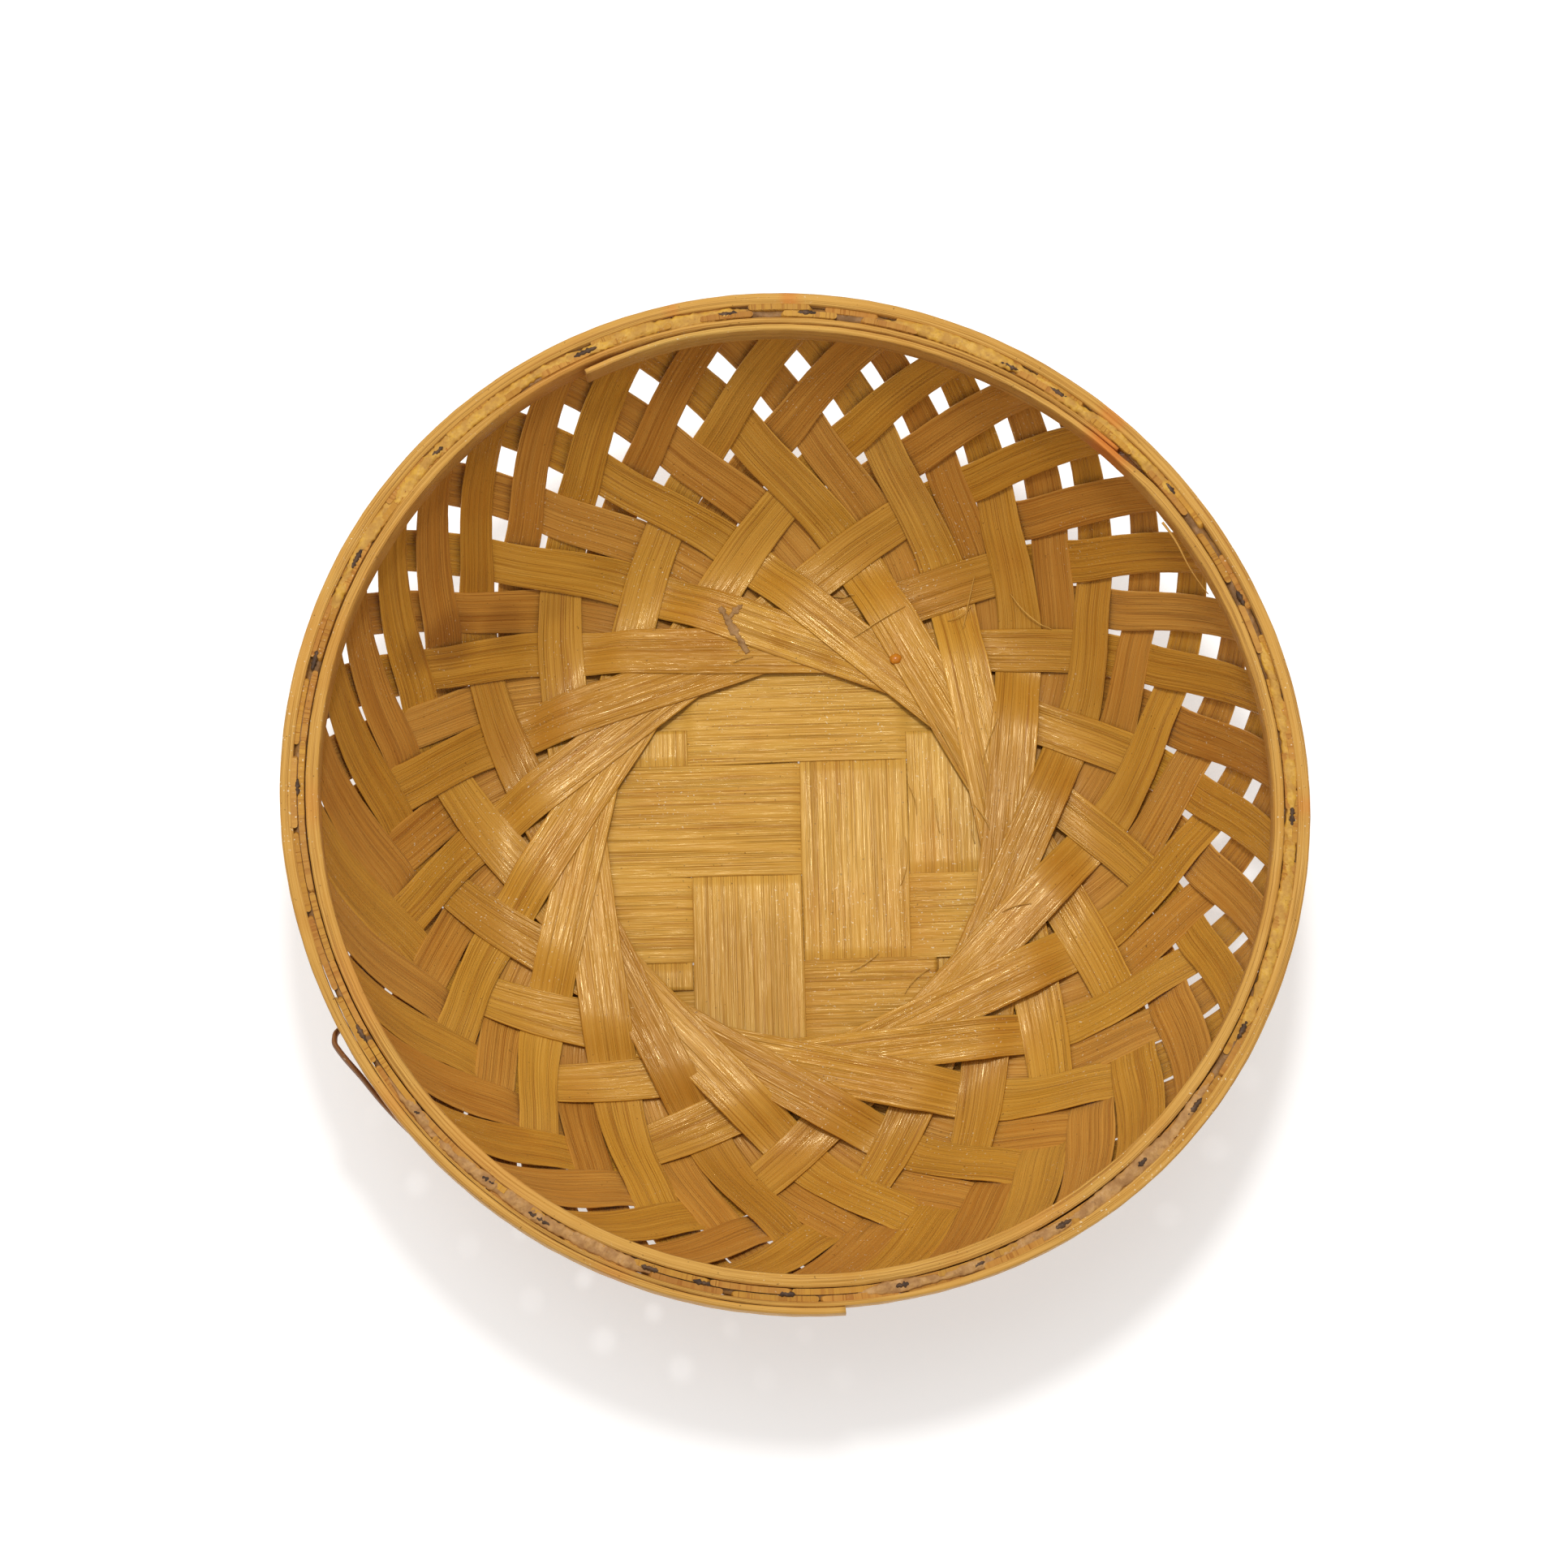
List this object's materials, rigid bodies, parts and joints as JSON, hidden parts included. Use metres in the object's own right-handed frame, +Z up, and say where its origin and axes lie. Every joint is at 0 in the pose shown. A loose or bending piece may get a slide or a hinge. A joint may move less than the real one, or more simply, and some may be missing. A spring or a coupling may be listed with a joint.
{
  "type": "round woven bamboo basket",
  "caption": "Shallow round bowl basket woven from split bamboo strips, with a twill mat in the floor, an open crossed wall and a double hoop rim; holds fruit, bread or small things.",
  "frame": {"origin": "centre of the basket's foot, on the surface that it stands on", "axes": "+Z up along the basket's axis, out of its mouth; +X and +Y in the plane of the foot, with the mat's strips within two degrees of them"},
  "size_m": [0.2, 0.2, 0.066],
  "materials": {
    "bamboo_upper": "satin",
    "bamboo_lower": "satin",
    "bamboo_mat": "satin",
    "bamboo_hoop": "satin",
    "dried_glue": "matte"
  },
  "bodies": {
    "root": {"upper_strip_01": "bamboo_upper", "upper_strip_02": "bamboo_upper", "upper_strip_03": "bamboo_upper", "upper_strip_04": "bamboo_upper", "upper_strip_05": "bamboo_upper", "upper_strip_06": "bamboo_upper", "upper_strip_07": "bamboo_upper", "upper_strip_08": "bamboo_upper", "upper_strip_09": "bamboo_upper", "upper_strip_10": "bamboo_upper", "upper_strip_11": "bamboo_upper", "upper_strip_12": "bamboo_upper", "upper_strip_13": "bamboo_upper", "upper_strip_14": "bamboo_upper", "upper_strip_15": "bamboo_upper", "upper_strip_16": "bamboo_upper", "upper_strip_17": "bamboo_upper", "upper_strip_18": "bamboo_upper", "upper_strip_19": "bamboo_upper", "lower_strip_01": "bamboo_lower", "lower_strip_02": "bamboo_lower", "lower_strip_03": "bamboo_lower", "lower_strip_04": "bamboo_lower", "lower_strip_05": "bamboo_lower", "lower_strip_06": "bamboo_lower", "lower_strip_07": "bamboo_lower", "lower_strip_08": "bamboo_lower", "lower_strip_09": "bamboo_lower", "lower_strip_10": "bamboo_lower", "lower_strip_11": "bamboo_lower", "lower_strip_12": "bamboo_lower", "lower_strip_13": "bamboo_lower", "lower_strip_14": "bamboo_lower", "lower_strip_15": "bamboo_lower", "lower_strip_16": "bamboo_lower", "lower_strip_17": "bamboo_lower", "lower_strip_18": "bamboo_lower", "lower_strip_19": "bamboo_lower", "mat_warp_1": "bamboo_mat", "mat_warp_2": "bamboo_mat", "mat_warp_3": "bamboo_mat", "mat_warp_4": "bamboo_mat", "mat_weft_1": "bamboo_mat", "mat_weft_2": "bamboo_mat", "mat_weft_3": "bamboo_mat", "mat_weft_4": "bamboo_mat", "inner_hoop": "bamboo_hoop", "outer_hoop": "bamboo_hoop", "rim_glue_1": "dried_glue", "rim_glue_2": "dried_glue", "rim_glue_3": "dried_glue", "rim_glue_4": "dried_glue", "rim_glue_5": "dried_glue"}
  },
  "joints": []
}
